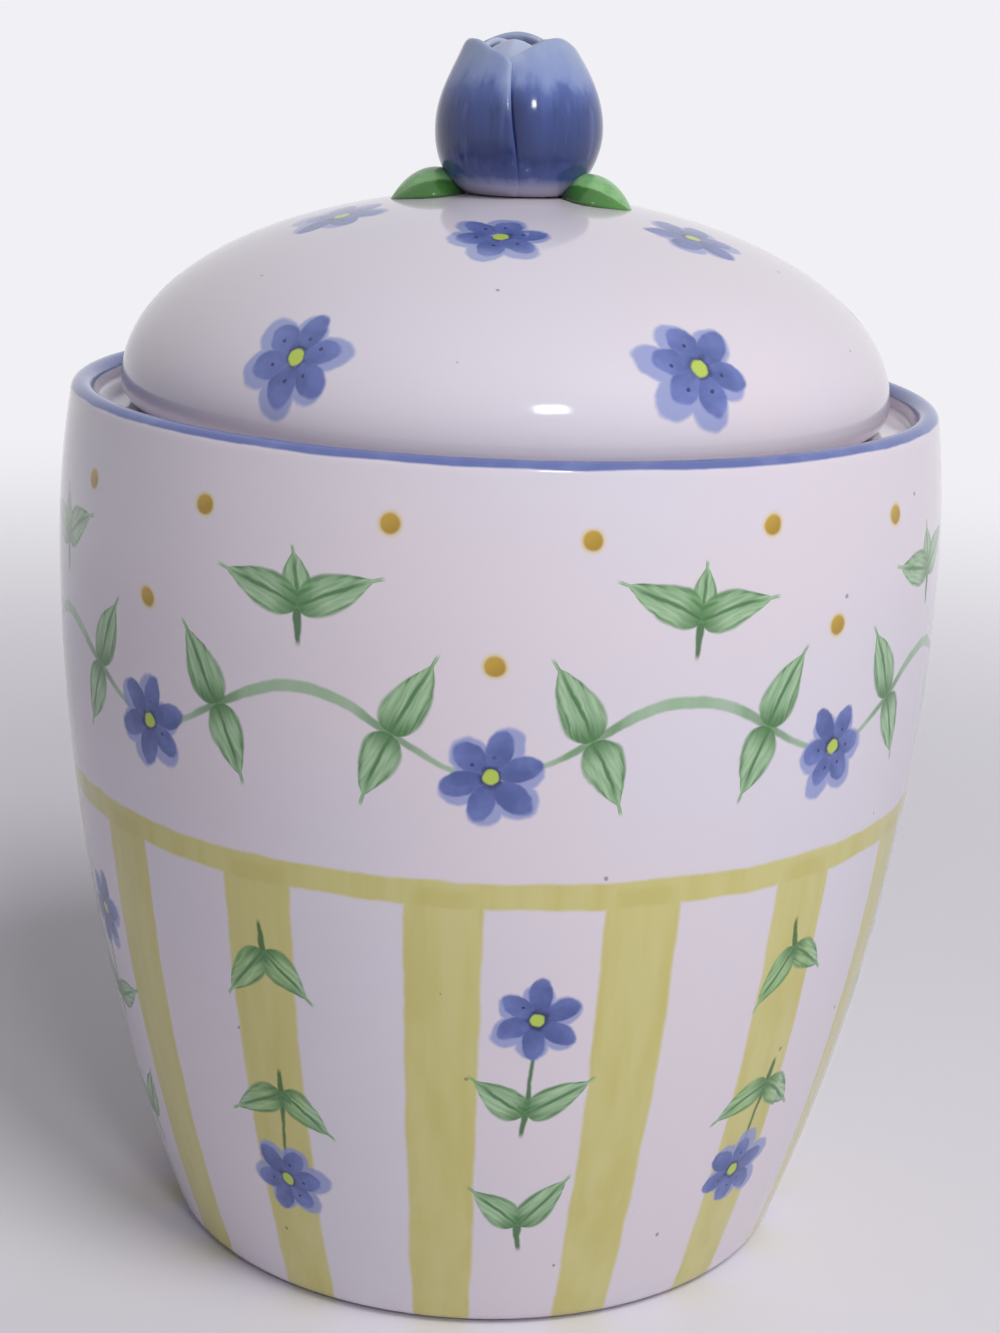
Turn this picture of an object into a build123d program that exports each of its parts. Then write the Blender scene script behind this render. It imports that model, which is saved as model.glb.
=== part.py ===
from build123d import *
import math
import os

# Driving dimensions, in millimetres and degrees.
# The origin is the centre of the foot, on the surface that the canister stands on.

# Jar: a foot ring, a wall of two arcs that meet at the belly, and a rolled lip
jar_height = 174.8
belly_radius = 89.0
belly_height = 143.0
lower_wall_curve = 430.0
upper_wall_curve = 190.0
wall = 5.5
floor_thickness = 6.5
floor_corner = 14.0
foot_round = 4.0
foot_ring_width = 7.0
foot_recess = 2.5
lip_thickness = 4.6

# Ledge inside the lip, which the lid stands on
ledge_depth = 5.0
ledge_thickness = 5.0
ledge_haunch = 15.0

# Lid: a hollow dome with a rolled edge and a collar that hangs in the mouth
lid_edge_gap = 5.3
edge_roll = 4.7
seat_width = 3.1
dome_height = 38.0
dome_fullness_share = 0.5523
dome_thickness = 4.5
collar_gap = 1.2
collar_depth = 12.0
collar_thickness = 5.0

# Soft ring in the collar's groove
groove_depth = 2.2
groove_height = 5.0
groove_drop = 3.5
ring_round = 0.8

# Tulip bud on the crown of the dome
bud_base_radius = 10.3
bud_belly_radius = 16.3
bud_tip_radius = 10.2
bud_sink = 1.0
bud_belly_rise = 13.5
bud_height = 31.2
petal_thickness = 1.6
petal_arch_radius = 16.0
petal_step_angle = 120.0
outer_petal_half_angle = 66.0
inner_petal_half_angle = 57.0
inner_petal_drop = 1.6
core_drop = 5.5
core_cap_radius = 14.0

# Leaves at the foot of the bud: pointed hoods about level axes that run just below the dome
leaf_root_radius = 5.6
leaf_tip_radius = 25.2
leaf_sink = 1.8
leaf_rise = 8.2
leaf_thickness = 1.8
leaf_nose = 2.6
leaf_lean = 5.0
curve_handle_share = 4 / 3

# Azimuths, anticlockwise from +X; the front of the canister faces -Y
back_petal_angle = 76.0
left_leaf_angle = 187.0
right_leaf_angle = 341.0

# Clearances: between pieces that move, and in the joint of pieces luted together
running_gap = 0.3
luting_gap = 0.3
overrun = 5.0


def wall_radius(height, depth=0.0):
    """Radius of the jar's wall at a height, at a depth below its outer face."""
    curve = lower_wall_curve if height < belly_height else upper_wall_curve
    return belly_radius - curve + math.sqrt((curve - depth) ** 2 - (height - belly_height) ** 2)


# Heights and radii that several pieces share
lip_spring = jar_height - lip_thickness / 2
lip_radius = wall_radius(lip_spring)
lip_inner_radius = lip_radius - lip_thickness
ledge_height = jar_height - ledge_depth
dome_radius = lip_inner_radius - lid_edge_gap
mouth_radius = dome_radius - edge_roll - seat_width
seat_height = ledge_height + running_gap
edge_height = seat_height + edge_roll
crown_height = edge_height + dome_height
collar_radius = mouth_radius - collar_gap
collar_bottom = seat_height - collar_depth
groove_top = seat_height - groove_drop
groove_bottom = groove_top - groove_height
groove_radius = collar_radius - groove_depth
overlap_start = math.radians(petal_step_angle - outer_petal_half_angle)
petal_shift = (petal_thickness + luting_gap) / (2 * math.sin(overlap_start))
inner_whorl_inset = petal_thickness + petal_shift + luting_gap
core_inset = inner_whorl_inset + petal_thickness + luting_gap
leaf_fall_share = math.sqrt(1 - (leaf_tip_radius / dome_radius) ** 2)
leaf_level = edge_height + dome_height * leaf_fall_share + luting_gap - leaf_sink


def turned(lines):
    """Turn a closed outline of (radius, height) lines about the upright axis."""
    return revolve(Plane.XZ * make_face(lines), Axis.Z)


def wall_arcs(low, high, depth=0.0):
    """The wall's outline between two heights, as one arc or as two that meet at the belly."""
    stops = [low, belly_height, high] if low < belly_height < high else [low, high]
    arcs = []
    for start, end in zip(stops, stops[1:]):
        heights = (start, (start + end) / 2, end)
        arcs.append(ThreePointArc(*[(wall_radius(height, depth), height) for height in heights]))
    return arcs


def wall_fillet(base, radius, depth=0.0):
    """Ends of the arc that leads from a flat at height base into the lower wall."""
    reach = lower_wall_curve - depth
    centre = belly_radius - lower_wall_curve
    rise = base + radius - belly_height
    run = math.sqrt((reach - radius) ** 2 - rise**2)
    stretch_share = reach / (reach - radius)
    return (centre + run, base), (centre + run * stretch_share, belly_height + rise * stretch_share)


def make_jar():
    foot, foot_top = wall_fillet(0.0, foot_round)
    floor, floor_top = wall_fillet(floor_thickness, floor_corner, wall)
    foot_inner = foot[0] - foot_ring_width
    haunch = ledge_height - ledge_thickness - ledge_haunch
    lip_crest = (lip_radius - lip_thickness / 2, jar_height)
    lines = [Line((foot_inner, 0.0), foot), TangentArc(foot, foot_top, tangent=(1, 0))]
    lines += wall_arcs(foot_top[1], lip_spring)
    lines += [ThreePointArc((lip_radius, lip_spring), lip_crest, (lip_inner_radius, lip_spring))]
    lines += Polyline(
        (lip_inner_radius, lip_spring),
        (lip_inner_radius, ledge_height),
        (mouth_radius, ledge_height),
        (mouth_radius, ledge_height - ledge_thickness),
        (wall_radius(haunch, wall), haunch),
    ).edges()
    lines += wall_arcs(floor_top[1], haunch, wall)
    lines += [TangentArc(floor, floor_top, tangent=(1, 0))]
    lines += Polyline(
        floor,
        (0.0, floor_thickness),
        (0.0, foot_recess),
        (foot_inner - foot_recess, foot_recess),
        (foot_inner, 0.0),
    ).edges()
    return turned(lines)


def dome_curve(radius, height):
    """The dome's outline from its upright edge to its level crown, close to a quarter ellipse."""
    top = edge_height + height
    shoulder = edge_height + height * dome_fullness_share
    return Bezier((radius, edge_height), (radius, shoulder), (radius * dome_fullness_share, top), (0.0, top))


def make_lid():
    hollow_radius = collar_radius - collar_thickness
    hollow_height = dome_height - dome_thickness
    lines = [dome_curve(dome_radius, dome_height)]
    lines += [Line((0.0, crown_height), (0.0, edge_height + hollow_height))]
    lines += [dome_curve(hollow_radius, hollow_height)]
    lines += Polyline(
        (hollow_radius, edge_height),
        (hollow_radius, collar_bottom),
        (collar_radius, collar_bottom),
        (collar_radius, groove_bottom),
        (groove_radius, groove_bottom),
        (groove_radius, groove_top),
        (collar_radius, groove_top),
        (collar_radius, seat_height),
        (dome_radius - edge_roll, seat_height),
    ).edges()
    lines += [TangentArc((dome_radius - edge_roll, seat_height), (dome_radius, edge_height), tangent=(1, 0))]
    return turned(lines)


def make_sealing_ring():
    inner = groove_radius + running_gap
    outer = mouth_radius - running_gap
    low = groove_bottom + running_gap
    high = groove_top - running_gap
    section = Rectangle(outer - inner, high - low)
    section = fillet(section.vertices().group_by(Axis.X)[-1], ring_round)
    return revolve(Plane.XZ * Pos((inner + outer) / 2, (low + high) / 2) * section, Axis.Z)


def dome_space():
    """The space that the dome takes, with the luting gap around it."""
    radius = dome_radius + luting_gap
    height = dome_height + luting_gap
    lines = [dome_curve(radius, height)]
    lines += Polyline((0.0, edge_height + height), (0.0, edge_height), (radius, edge_height)).edges()
    return turned(lines)


def bud_arc(inset):
    """Upright outline of the bud, drawn in by an inset, from just below the crown to the tips."""
    return ThreePointArc(
        (bud_base_radius - inset, crown_height - bud_sink),
        (bud_belly_radius - inset, crown_height + bud_belly_rise),
        (bud_tip_radius - inset, crown_height + bud_height),
    )


def bud_solid(inset):
    """The whole bud, drawn in by an inset, as one turned solid."""
    side = bud_arc(inset)
    foot = (0.0, crown_height - bud_sink)
    top = (0.0, crown_height + bud_height)
    return turned([side, *Polyline(side @ 0, foot, top, side @ 1).edges()])


def make_petal(inset, half_angle, drop, shift, azimuth):
    """A curved blade with a round tip, shifted sideways so that one edge stands out and one tucks in."""
    outer = bud_arc(inset)
    inner = bud_arc(inset + petal_thickness)
    section = Plane.XZ * make_face([outer, inner, Line(outer @ 0, inner @ 0), Line(outer @ 1, inner @ 1)])
    shell = revolve(Rot(Z=-half_angle) * section, Axis.Z, revolution_arc=2 * half_angle)
    arch_height = crown_height + bud_height - drop - petal_arch_radius
    stem_length = arch_height - crown_height + bud_sink + overrun
    arch = Pos(0.0, arch_height) * Circle(petal_arch_radius)
    reach = bud_belly_radius + overrun
    stem = Pos(0.0, arch_height - stem_length / 2) * Rectangle(2 * reach, stem_length)
    blade = shell & extrude(Plane.YZ * (arch + stem), reach)
    return Rot(Z=azimuth) * Pos(0.0, shift, 0.0) * blade - dome_space()


def make_core():
    """The bud's heart, with a rounded top below the petals' tips."""
    cap_height = crown_height + bud_height - core_drop - core_cap_radius
    stem_length = cap_height - crown_height + bud_sink + overrun
    stem = Pos(0.0, 0.0, cap_height - stem_length / 2) * Cylinder(core_cap_radius, stem_length)
    cap = Pos(0.0, 0.0, cap_height) * Sphere(core_cap_radius)
    return (bud_solid(core_inset) & (stem + cap)) - dome_space()


def leaf_lemon(root, tip, rise):
    """Pointed solid of revolution about the leaf's own level axis."""
    handle = leaf_level + rise * curve_handle_share
    ends = (root, leaf_level), (tip, leaf_level)
    curve = Bezier(ends[0], (root + leaf_lean, handle), (tip - leaf_lean, handle), ends[1])
    face = Plane.XZ * make_face([curve, Line(*ends)])
    return revolve(face, Axis((0.0, 0.0, leaf_level), (1, 0, 0)))


def make_leaf(azimuth):
    """A pointed hood that arches out from under the bud and comes down on the dome."""
    outside = leaf_lemon(leaf_root_radius, leaf_tip_radius, leaf_rise)
    inside = leaf_lemon(leaf_root_radius + leaf_nose, leaf_tip_radius - leaf_nose, leaf_rise - leaf_thickness)
    away = Rot(Z=180)  # puts the seams of the round solids on the far side from the leaf
    hood = outside - inside - away * dome_space() - away * bud_solid(-petal_shift - luting_gap)
    return Rot(Z=azimuth) * hood


pieces = {
    "jar_body": make_jar(),
    "lid_dome": make_lid(),
    "sealing_ring": make_sealing_ring(),
    "bud_core": make_core(),
}
for step, side in enumerate(("back", "left", "right")):
    azimuth = back_petal_angle + step * petal_step_angle
    pieces["outer_petal_" + side] = make_petal(0.0, outer_petal_half_angle, 0.0, petal_shift, azimuth)
for step, side in enumerate(("left", "front", "right")):
    azimuth = back_petal_angle + (step + 1 / 2) * petal_step_angle
    pieces["inner_petal_" + side] = make_petal(
        inner_whorl_inset, inner_petal_half_angle, inner_petal_drop, 0.0, azimuth
    )
pieces["left_leaf"] = make_leaf(left_leaf_angle)
pieces["right_leaf"] = make_leaf(right_leaf_angle)

os.makedirs("parts", exist_ok=True)
for name, piece in pieces.items():
    export_step(piece, "parts/" + name + ".step")
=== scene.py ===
import math
import bmesh
import bpy
from mathutils import Matrix, Vector


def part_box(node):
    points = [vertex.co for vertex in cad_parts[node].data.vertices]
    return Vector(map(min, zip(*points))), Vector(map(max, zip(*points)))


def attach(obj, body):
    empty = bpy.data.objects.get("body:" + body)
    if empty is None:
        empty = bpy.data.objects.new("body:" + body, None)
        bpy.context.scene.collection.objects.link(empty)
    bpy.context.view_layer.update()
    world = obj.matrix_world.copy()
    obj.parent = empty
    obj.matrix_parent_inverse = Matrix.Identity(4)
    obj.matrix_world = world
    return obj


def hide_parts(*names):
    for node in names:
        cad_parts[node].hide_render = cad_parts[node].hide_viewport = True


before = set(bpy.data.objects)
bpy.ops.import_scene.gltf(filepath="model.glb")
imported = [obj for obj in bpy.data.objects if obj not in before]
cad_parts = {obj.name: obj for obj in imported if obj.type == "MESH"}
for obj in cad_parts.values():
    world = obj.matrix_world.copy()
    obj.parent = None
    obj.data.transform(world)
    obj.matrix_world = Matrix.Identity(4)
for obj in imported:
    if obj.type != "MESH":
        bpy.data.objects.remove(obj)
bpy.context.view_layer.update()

scene = bpy.context.scene
mm = 1000.0  # millimetres in a metre; the paint is laid out in millimetres


# camera, at the photo's viewing angle
viewpoint = dict(
    place=(0.0, -0.4828, 0.2477),  # metres
    pitch=15.31,  # degrees down
    yaw=0.134,
    roll=2.35,
    lens=86.4,  # on a 36 mm wide sensor
    sensor=36.0,
)


def setCamera():
    pitch, yaw, roll = (math.radians(viewpoint[key]) for key in ("pitch", "yaw", "roll"))
    ahead = Vector((math.sin(yaw) * math.cos(pitch), math.cos(yaw) * math.cos(pitch), -math.sin(pitch)))
    right = ahead.cross(Vector((0, 0, 1))).normalized()
    up = right.cross(ahead)
    tiltedRight = math.cos(roll) * right + math.sin(roll) * up
    tiltedUp = math.cos(roll) * up - math.sin(roll) * right
    data = bpy.data.cameras.new("viewpoint")
    data.sensor_fit = "HORIZONTAL"
    data.sensor_width = viewpoint["sensor"]
    data.lens = viewpoint["lens"]
    camera = bpy.data.objects.new("viewpoint", data)
    scene.collection.objects.link(camera)
    turned = Matrix((tiltedRight, tiltedUp, -ahead)).transposed().to_4x4()
    camera.matrix_world = Matrix.Translation(viewpoint["place"]) @ turned
    scene.camera = camera


setCamera()
print("camera set")


# sums of sockets, written as plain arithmetic
class Flow:
    def __init__(self, tree, socket):
        self.tree = tree
        self.socket = socket

    def calc(self, operation, *others):
        node = self.tree.nodes.new("ShaderNodeMath")
        node.operation = operation
        for socket, value in zip(node.inputs, (self, *others)):
            feed(self.tree, value, socket)
        return Flow(self.tree, node.outputs[0])

    def rise(self, low, high):  # smooth step, from 0 at low to 1 at high
        node = self.tree.nodes.new("ShaderNodeMapRange")
        node.interpolation_type = "SMOOTHSTEP"
        for socket, value in zip(node.inputs, (self, low, high)):
            feed(self.tree, value, socket)
        return Flow(self.tree, node.outputs[0])

    def fall(self, low, high):
        return self.rise(high, low)

    def __add__(self, other):
        return self.calc("ADD", other)

    def __sub__(self, other):
        return self.calc("SUBTRACT", other)

    def __rsub__(self, other):
        return self.calc("MULTIPLY_ADD", -1.0, other)

    def __mul__(self, other):
        return self.calc("MULTIPLY", other)

    def __truediv__(self, other):
        return self.calc("DIVIDE", other)

    def __abs__(self):
        return self.calc("ABSOLUTE")


def feed(tree, value, socket):  # link a flow, or set a plain value
    if isinstance(value, Flow):
        tree.links.new(value.socket, socket)
    else:
        socket.default_value = value


def colourOf(text):  # written as in a paint program, kept as a linear colour
    parts = [int(text[start:start + 2], 16) / 255 for start in (0, 2, 4)]
    linear = [part / 12.92 if part <= 0.04045 else ((part + 0.055) / 1.055) ** 2.4 for part in parts]
    return (*linear, 1.0)


def layer(tree, under, over, mask):  # paint one colour over another
    node = tree.nodes.new("ShaderNodeMix")
    node.data_type = "RGBA"
    feed(tree, mask, node.inputs[0])
    for value, socket in ((under, node.inputs[6]), (over, node.inputs[7])):
        feed(tree, colourOf(value) if isinstance(value, str) else value, socket)
    return Flow(tree, node.outputs[2])


def clouds(tree, place, scale, detail=2.0, stretch=None):
    if stretch:
        mapping = tree.nodes.new("ShaderNodeMapping")
        feed(tree, place, mapping.inputs["Vector"])
        mapping.inputs["Scale"].default_value = stretch
        place = Flow(tree, mapping.outputs[0])
    node = tree.nodes.new("ShaderNodeTexNoise")
    feed(tree, place, node.inputs["Vector"])
    node.inputs["Scale"].default_value = scale
    node.inputs["Detail"].default_value = detail
    return Flow(tree, node.outputs[0])


def joined(tree, *parts):  # three numbers as one place
    node = tree.nodes.new("ShaderNodeCombineXYZ")
    for value, socket in zip(parts, node.inputs):
        feed(tree, value, socket)
    return Flow(tree, node.outputs[0])


def luck(tree, number, seed):  # a steady random value for each whole number
    node = tree.nodes.new("ShaderNodeTexWhiteNoise")
    node.noise_dimensions = "1D"
    feed(tree, number + seed, node.inputs["W"])
    return Flow(tree, node.outputs["Value"])


def startGroup(name, inputs, outputs):
    tree = bpy.data.node_groups.new(name, "ShaderNodeTree")
    for label in inputs:
        kind = "NodeSocketVector" if label == "Place" else "NodeSocketFloat"
        tree.interface.new_socket(label, in_out="INPUT", socket_type=kind)
    for label in outputs:
        tree.interface.new_socket(label, in_out="OUTPUT", socket_type="NodeSocketFloat")
    entry = tree.nodes.new("NodeGroupInput")
    return tree, [Flow(tree, entry.outputs[label]) for label in inputs]


def closeGroup(tree, results):
    final = tree.nodes.new("NodeGroupOutput")
    for label, flow in results.items():
        feed(tree, flow, final.inputs[label])
    return tree


def useGroup(tree, group, *values):
    node = tree.nodes.new("ShaderNodeGroup")
    node.node_tree = group
    for value, socket in zip(values, node.inputs):
        feed(tree, value, socket)
    return [Flow(tree, socket) for socket in node.outputs]


# brush marks that the painted pieces share; lengths are in millimetres
brush = dict(slow=75.0, quick=420.0, sway=2.4, trembleAcross=0.7, trembleUp=0.5)


def makeWobble():  # how far the brush strays, across and up
    tree, (place, amount) = startGroup("brushWobble", ("Place", "Amount"), ("Across", "Up"))
    slow = clouds(tree, place, brush["slow"], 1.0) - 0.5
    quick = clouds(tree, place, brush["quick"], 1.0) - 0.5
    mirrored = clouds(tree, place, brush["slow"], 1.0, (1.0, 1.0, -1.0)) - 0.5
    across = slow * brush["sway"] + quick * brush["trembleAcross"]
    up = mirrored * brush["sway"] + quick * brush["trembleUp"]
    return closeGroup(tree, {"Across": across * amount, "Up": up * amount})


flower = dict(
    petals=6,
    petalCentre=0.52, petalLong=0.42, petalWide=0.27,  # shares of the flower's radius
    haloCentre=0.58, haloLong=0.44, haloWide=0.37,
    haloSlip=0.24, haloDrop=0.07, haloVary=0.2, petalVary=0.24,  # the halo lies off its petals
    turnRange=6.0,  # radians
    heart=0.15, heartSoft=0.03, ring=0.23, speckReach=0.34, speck=0.05,
    blotScale=3.4, blotReach=0.5,
    haloStrength=0.85, petalStrength=0.95, ringStrength=0.9,
)


def makeFlower():
    names = ("Across", "Up", "Size", "Turn", "Luck")
    results = ("Halo", "Petals", "Tone", "Ring", "Heart")
    tree, (across, up, size, turn, chance) = startGroup("paintedFlower", names, results)
    step = 2 * math.pi / flower["petals"]
    across = across / size
    up = up / size
    blot = clouds(tree, joined(tree, across, up, chance * 40.0), flower["blotScale"]) - 0.5

    def petalPlace(side, high):  # along and off the middle line of the nearest petal
        reach = (side * side + high * high).calc("SQRT")
        turns = (high.calc("ARCTAN2", side) + turn) / step
        petal = (turns + 0.5).calc("FLOOR")
        off = (turns - petal) * step
        number = petal.calc("WRAP", flower["petals"], 0.0)
        return reach, reach * off.calc("COSINE"), reach * off.calc("SINE"), number

    def oval(along, off, part):
        first = (along - flower[part + "Centre"]) / flower[part + "Long"]
        second = off / flower[part + "Wide"]
        return first * first + second * second + blot * flower["blotReach"]

    def varied(along, chance, amount):  # no two petals are quite as long
        return along * (chance * amount + (1 - amount / 2))

    slip = (chance - 0.5) * flower["haloSlip"]
    _, along, off, petal = petalPlace(across + slip, up + flower["haloDrop"])
    even = luck(tree, petal, seed=chance * 71.0)
    halo = oval(varied(along, even, flower["haloVary"]), off, "halo").fall(0.72, 1.2)
    reach, along, off, petal = petalPlace(across, up)
    odd = luck(tree, petal, seed=chance * 53.0)
    length = varied(along, odd, flower["petalVary"])
    petals = oval(length, off, "petal").fall(0.74, 1.14)
    tone = length.rise(0.25, 0.95) * 0.45 + odd * 0.4 + off * 0.9 + blot * 1.2  # paler at the tip
    far = along - flower["speckReach"] - odd * 0.14
    beside = off + (even - 0.5) * 0.16
    away = (far * far + beside * beside).calc("SQRT")
    speck = away.fall(flower["speck"] * 0.5, flower["speck"]) * odd.rise(0.35, 0.55)
    ring = (reach + odd * 0.06 + blot * 0.35).fall(flower["ring"] - 0.06, flower["ring"] + 0.08)
    soft = flower["heartSoft"]
    heart = (reach + blot * 0.12).fall(flower["heart"] - soft, flower["heart"] + soft)
    dark = ring.calc("MAXIMUM", speck)
    return closeGroup(tree, {"Halo": halo, "Petals": petals, "Tone": tone, "Ring": dark, "Heart": heart})


leafMark = dict(
    bladeShare=0.9, fullness=2.6, tail=0.34,  # the brush lifts off in a thin tail
    ribHalf=0.12, ribSoft=0.55, rimStrength=0.85, underRimStrength=0.7, rootStrength=0.9, streakStrength=0.35,
    strength=0.85, darkStrength=0.8,
)


def makeLeafMark():
    names = ("Along", "Off", "Length", "Width", "Bend")
    tree, (along, off, length, width, bend) = startGroup("paintedLeaf", names, ("Blade", "Pale", "Dark"))
    whole = along / length
    share = whole.calc("MAXIMUM", 0.0).calc("MINIMUM", 1.0)
    streak = clouds(tree, joined(tree, off, along * 0.1, length * 3.0), 1.5)
    body = (share / leafMark["bladeShare"]).calc("MINIMUM", 1.0)
    spread = body.calc("SQRT") * (1.0 - body) * width * leafMark["fullness"]
    side = off - share * share * length * bend
    edge = side / spread.calc("MAXIMUM", leafMark["tail"])
    blade = abs(edge).fall(0.84, 1.1) * whole.rise(-0.03, 0.03) * whole.fall(0.94, 1.03)
    rib = abs(side).fall(leafMark["ribHalf"], leafMark["ribSoft"]) * share.fall(0.6, 0.95)
    uneven = (streak - 0.5) * 0.5
    rim = (edge + uneven).rise(0.55, 0.95) * leafMark["rimStrength"]
    underRim = (edge * -1.0 + uneven).rise(0.66, 0.98) * leafMark["underRimStrength"]
    root = share.fall(0.02, 0.36) * leafMark["rootStrength"]
    lines = rib.calc("MAXIMUM", rim.calc("MAXIMUM", underRim)).calc("MAXIMUM", root)
    dark = (lines + streak.rise(0.5, 0.75) * leafMark["streakStrength"]).calc("MINIMUM", 1.0)
    return closeGroup(tree, {"Blade": blade, "Pale": streak.fall(0.3, 0.55), "Dark": dark * blade})


ironSpeck = dict(room=24.0, share=0.55, strength=0.6)  # one spot at most in 24 mm, and none in some


def makeSpecks():  # small iron spots in the glaze
    tree, (across, up, size) = startGroup("glazeSpecks", ("Across", "Up", "Size"), ("Specks",))
    cells = tree.nodes.new("ShaderNodeTexVoronoi")
    cells.voronoi_dimensions = "2D"
    cells.inputs["Scale"].default_value = 1 / ironSpeck["room"]
    feed(tree, joined(tree, across, up, 0.0), cells.inputs["Vector"])
    chance = tree.nodes.new("ShaderNodeSeparateColor")
    tree.links.new(cells.outputs["Color"], chance.inputs[0])
    far = Flow(tree, cells.outputs["Distance"]) * ironSpeck["room"]
    lucky = Flow(tree, chance.outputs[0]).rise(1 - ironSpeck["share"], 1.0)
    return closeGroup(tree, {"Specks": (far / (size * lucky + 0.001)).fall(0.5, 1.0)})


marks = dict(wobble=makeWobble(), flower=makeFlower(), leaf=makeLeafMark(), specks=makeSpecks())
print("brush marks ready:", len(marks))

paint = dict(
    glaze="d7d1dd", glazeWarm="dad1da",
    yellow="cac376", yellowDeep="bcb160",
    halo="8793c8", petal="475795", petalLight="6f7dbf", navy="262f5c", heart="b4ca52",
    leaf="7fae78", leafPale="9dc494", leafDark="31682d", vine="8db08a", vineDark="4f8148",
    gold="bd9a38", goldDeep="a17f24", goldPale="d8c27c",
    rim="5f6ca8", rimPale="7683ba",
    speck="5b5048", clay="cdbfa8", clayDark="b5a48b",
)


def startMaterial(name):
    material = bpy.data.materials.new(name)
    material.use_nodes = True
    tree = material.node_tree
    return material, tree, tree.nodes["Principled BSDF"]


def objectPlace(tree):
    coords = tree.nodes.new("ShaderNodeTexCoord")
    return Flow(tree, coords.outputs["Object"])


def placeOn(tree):  # object coordinates, then height, distance from the axis and angle from the front
    place = objectPlace(tree)
    split = tree.nodes.new("ShaderNodeSeparateXYZ")
    feed(tree, place, split.inputs[0])
    x, y, z = (Flow(tree, socket) * mm for socket in split.outputs)
    return place, z, (x * x + y * y).calc("SQRT"), x.calc("ARCTAN2", y * -1.0)


def attribute(tree, name):
    node = tree.nodes.new("ShaderNodeAttribute")
    node.attribute_name = name
    return Flow(tree, node.outputs["Fac"])


def repeated(angle, count, turn=0.0):  # angle from the nearest motif, and that motif's number
    step = 2 * math.pi / count
    turns = (angle - turn) / step
    cell = (turns + 0.5).calc("FLOOR")
    return (turns - cell) * step, cell.calc("WRAP", count, 0.0)


def leaned(across, up, slope):  # tip a motif by a small slope
    return across + up * slope, up - across * slope


def addFlower(tree, colour, across, up, size, chance):
    turn = chance * flower["turnRange"]
    halo, petals, tone, ring, heart = useGroup(tree, marks["flower"], across, up, size, turn, chance)
    blue = layer(tree, paint["petal"], paint["petalLight"], tone * 0.9)
    colour = layer(tree, colour, paint["halo"], halo * flower["haloStrength"])
    colour = layer(tree, colour, blue, petals * flower["petalStrength"])
    colour = layer(tree, colour, paint["navy"], ring * flower["ringStrength"])
    return layer(tree, colour, paint["heart"], heart)


def addLeaf(tree, colour, across, up, degrees, length, width, bend):
    turn = math.radians(degrees)
    along = across * math.cos(turn) + up * math.sin(turn)
    off = up * math.cos(turn) - across * math.sin(turn)
    blade, pale, dark = useGroup(tree, marks["leaf"], along, off, length, width, bend)
    green = layer(tree, paint["leaf"], paint["leafPale"], pale)
    colour = layer(tree, colour, green, blade * leafMark["strength"])
    return layer(tree, colour, paint["leafDark"], dark * leafMark["darkStrength"])


def addSpecks(tree, colour, across, up, size):
    specks, = useGroup(tree, marks["specks"], across, up, size)
    return layer(tree, colour, paint["speck"], specks * ironSpeck["strength"])


stem = dict(swell=1.5, thin=0.7, taper=8.0, soft=0.25, strength=0.92)


def addStem(tree, colour, across, up, low, high, joint, half):  # thickest at the joint with the leaves
    width = (stem["swell"] - abs(up - joint) / stem["taper"]).calc("MAXIMUM", stem["thin"]) * half
    mask = (abs(across) - width).fall(-stem["soft"], stem["soft"])
    mask = mask * up.rise(low - 0.8, low + 0.8) * up.fall(high - 0.5, high + 0.5)
    return layer(tree, colour, paint["leafDark"], mask * stem["strength"])


glaze = dict(
    ior=1.5, roughness=0.07, smear=0.06, smearScale=60.0,
    ripple=0.12, budRipple=0.2, rippleScale=38.0, rippleDepth=0.001, cloudScale=14.0,
)


def plainGlaze(tree, place):  # off-white, a little warmer in places
    warm = clouds(tree, place, glaze["cloudScale"]).rise(0.35, 0.65)
    return layer(tree, paint["glaze"], paint["glazeWarm"], warm)


def glossOf(tree, place):
    return clouds(tree, place, glaze["smearScale"]) * glaze["smear"] + glaze["roughness"]


def finishGlaze(tree, shader, place, colour, roughness, ripple):  # glossy, slightly rippled from the dipping
    feed(tree, colour, shader.inputs["Base Color"])
    feed(tree, roughness, shader.inputs["Roughness"])
    shader.inputs["IOR"].default_value = glaze["ior"]
    bump = tree.nodes.new("ShaderNodeBump")
    bump.inputs["Strength"].default_value = ripple
    bump.inputs["Distance"].default_value = glaze["rippleDepth"]
    feed(tree, clouds(tree, place, glaze["rippleScale"], 1.5), bump.inputs["Height"])
    tree.links.new(bump.outputs[0], shader.inputs["Normal"])


# turned pieces: an outline of (radius, height), with a third number where a corner is rounded
def turnOutline(outline, steps, closed=False):
    bm = bmesh.new()
    along = bm.verts.layers.float.new("along")
    verts = [bm.verts.new((point[0], 0.0, point[1])) for point in outline]
    for pair in zip(verts, verts[1:]):
        bm.edges.new(pair)
    first, last = verts[0], verts[-1]
    for vert, point in zip(verts, outline):
        if len(point) == 3:
            bmesh.ops.bevel(
                bm, geom=[vert], offset=point[2], segments=4, profile=0.5, affect="VERTICES", material=-1,
            )
    vert, edge, length = first, None, 0.0
    while True:  # length along the outline, for the paint and the UV map
        vert[along] = length
        edge = next((other for other in vert.link_edges if other is not edge), None)
        if edge is None:
            break
        length += edge.calc_length()
        vert = edge.other_vert(vert)
    if closed:
        bm.edges.new((last, first))
    geom = bm.verts[:] + bm.edges[:]
    bmesh.ops.spin(bm, geom=geom, axis=(0, 0, 1), angle=2 * math.pi, steps=steps, use_merge=True)
    bmesh.ops.remove_doubles(bm, verts=bm.verts[:], dist=1e-6)
    bmesh.ops.recalc_face_normals(bm, faces=bm.faces[:])
    for face in bm.faces:
        face.smooth = True
    return bm, along


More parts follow.
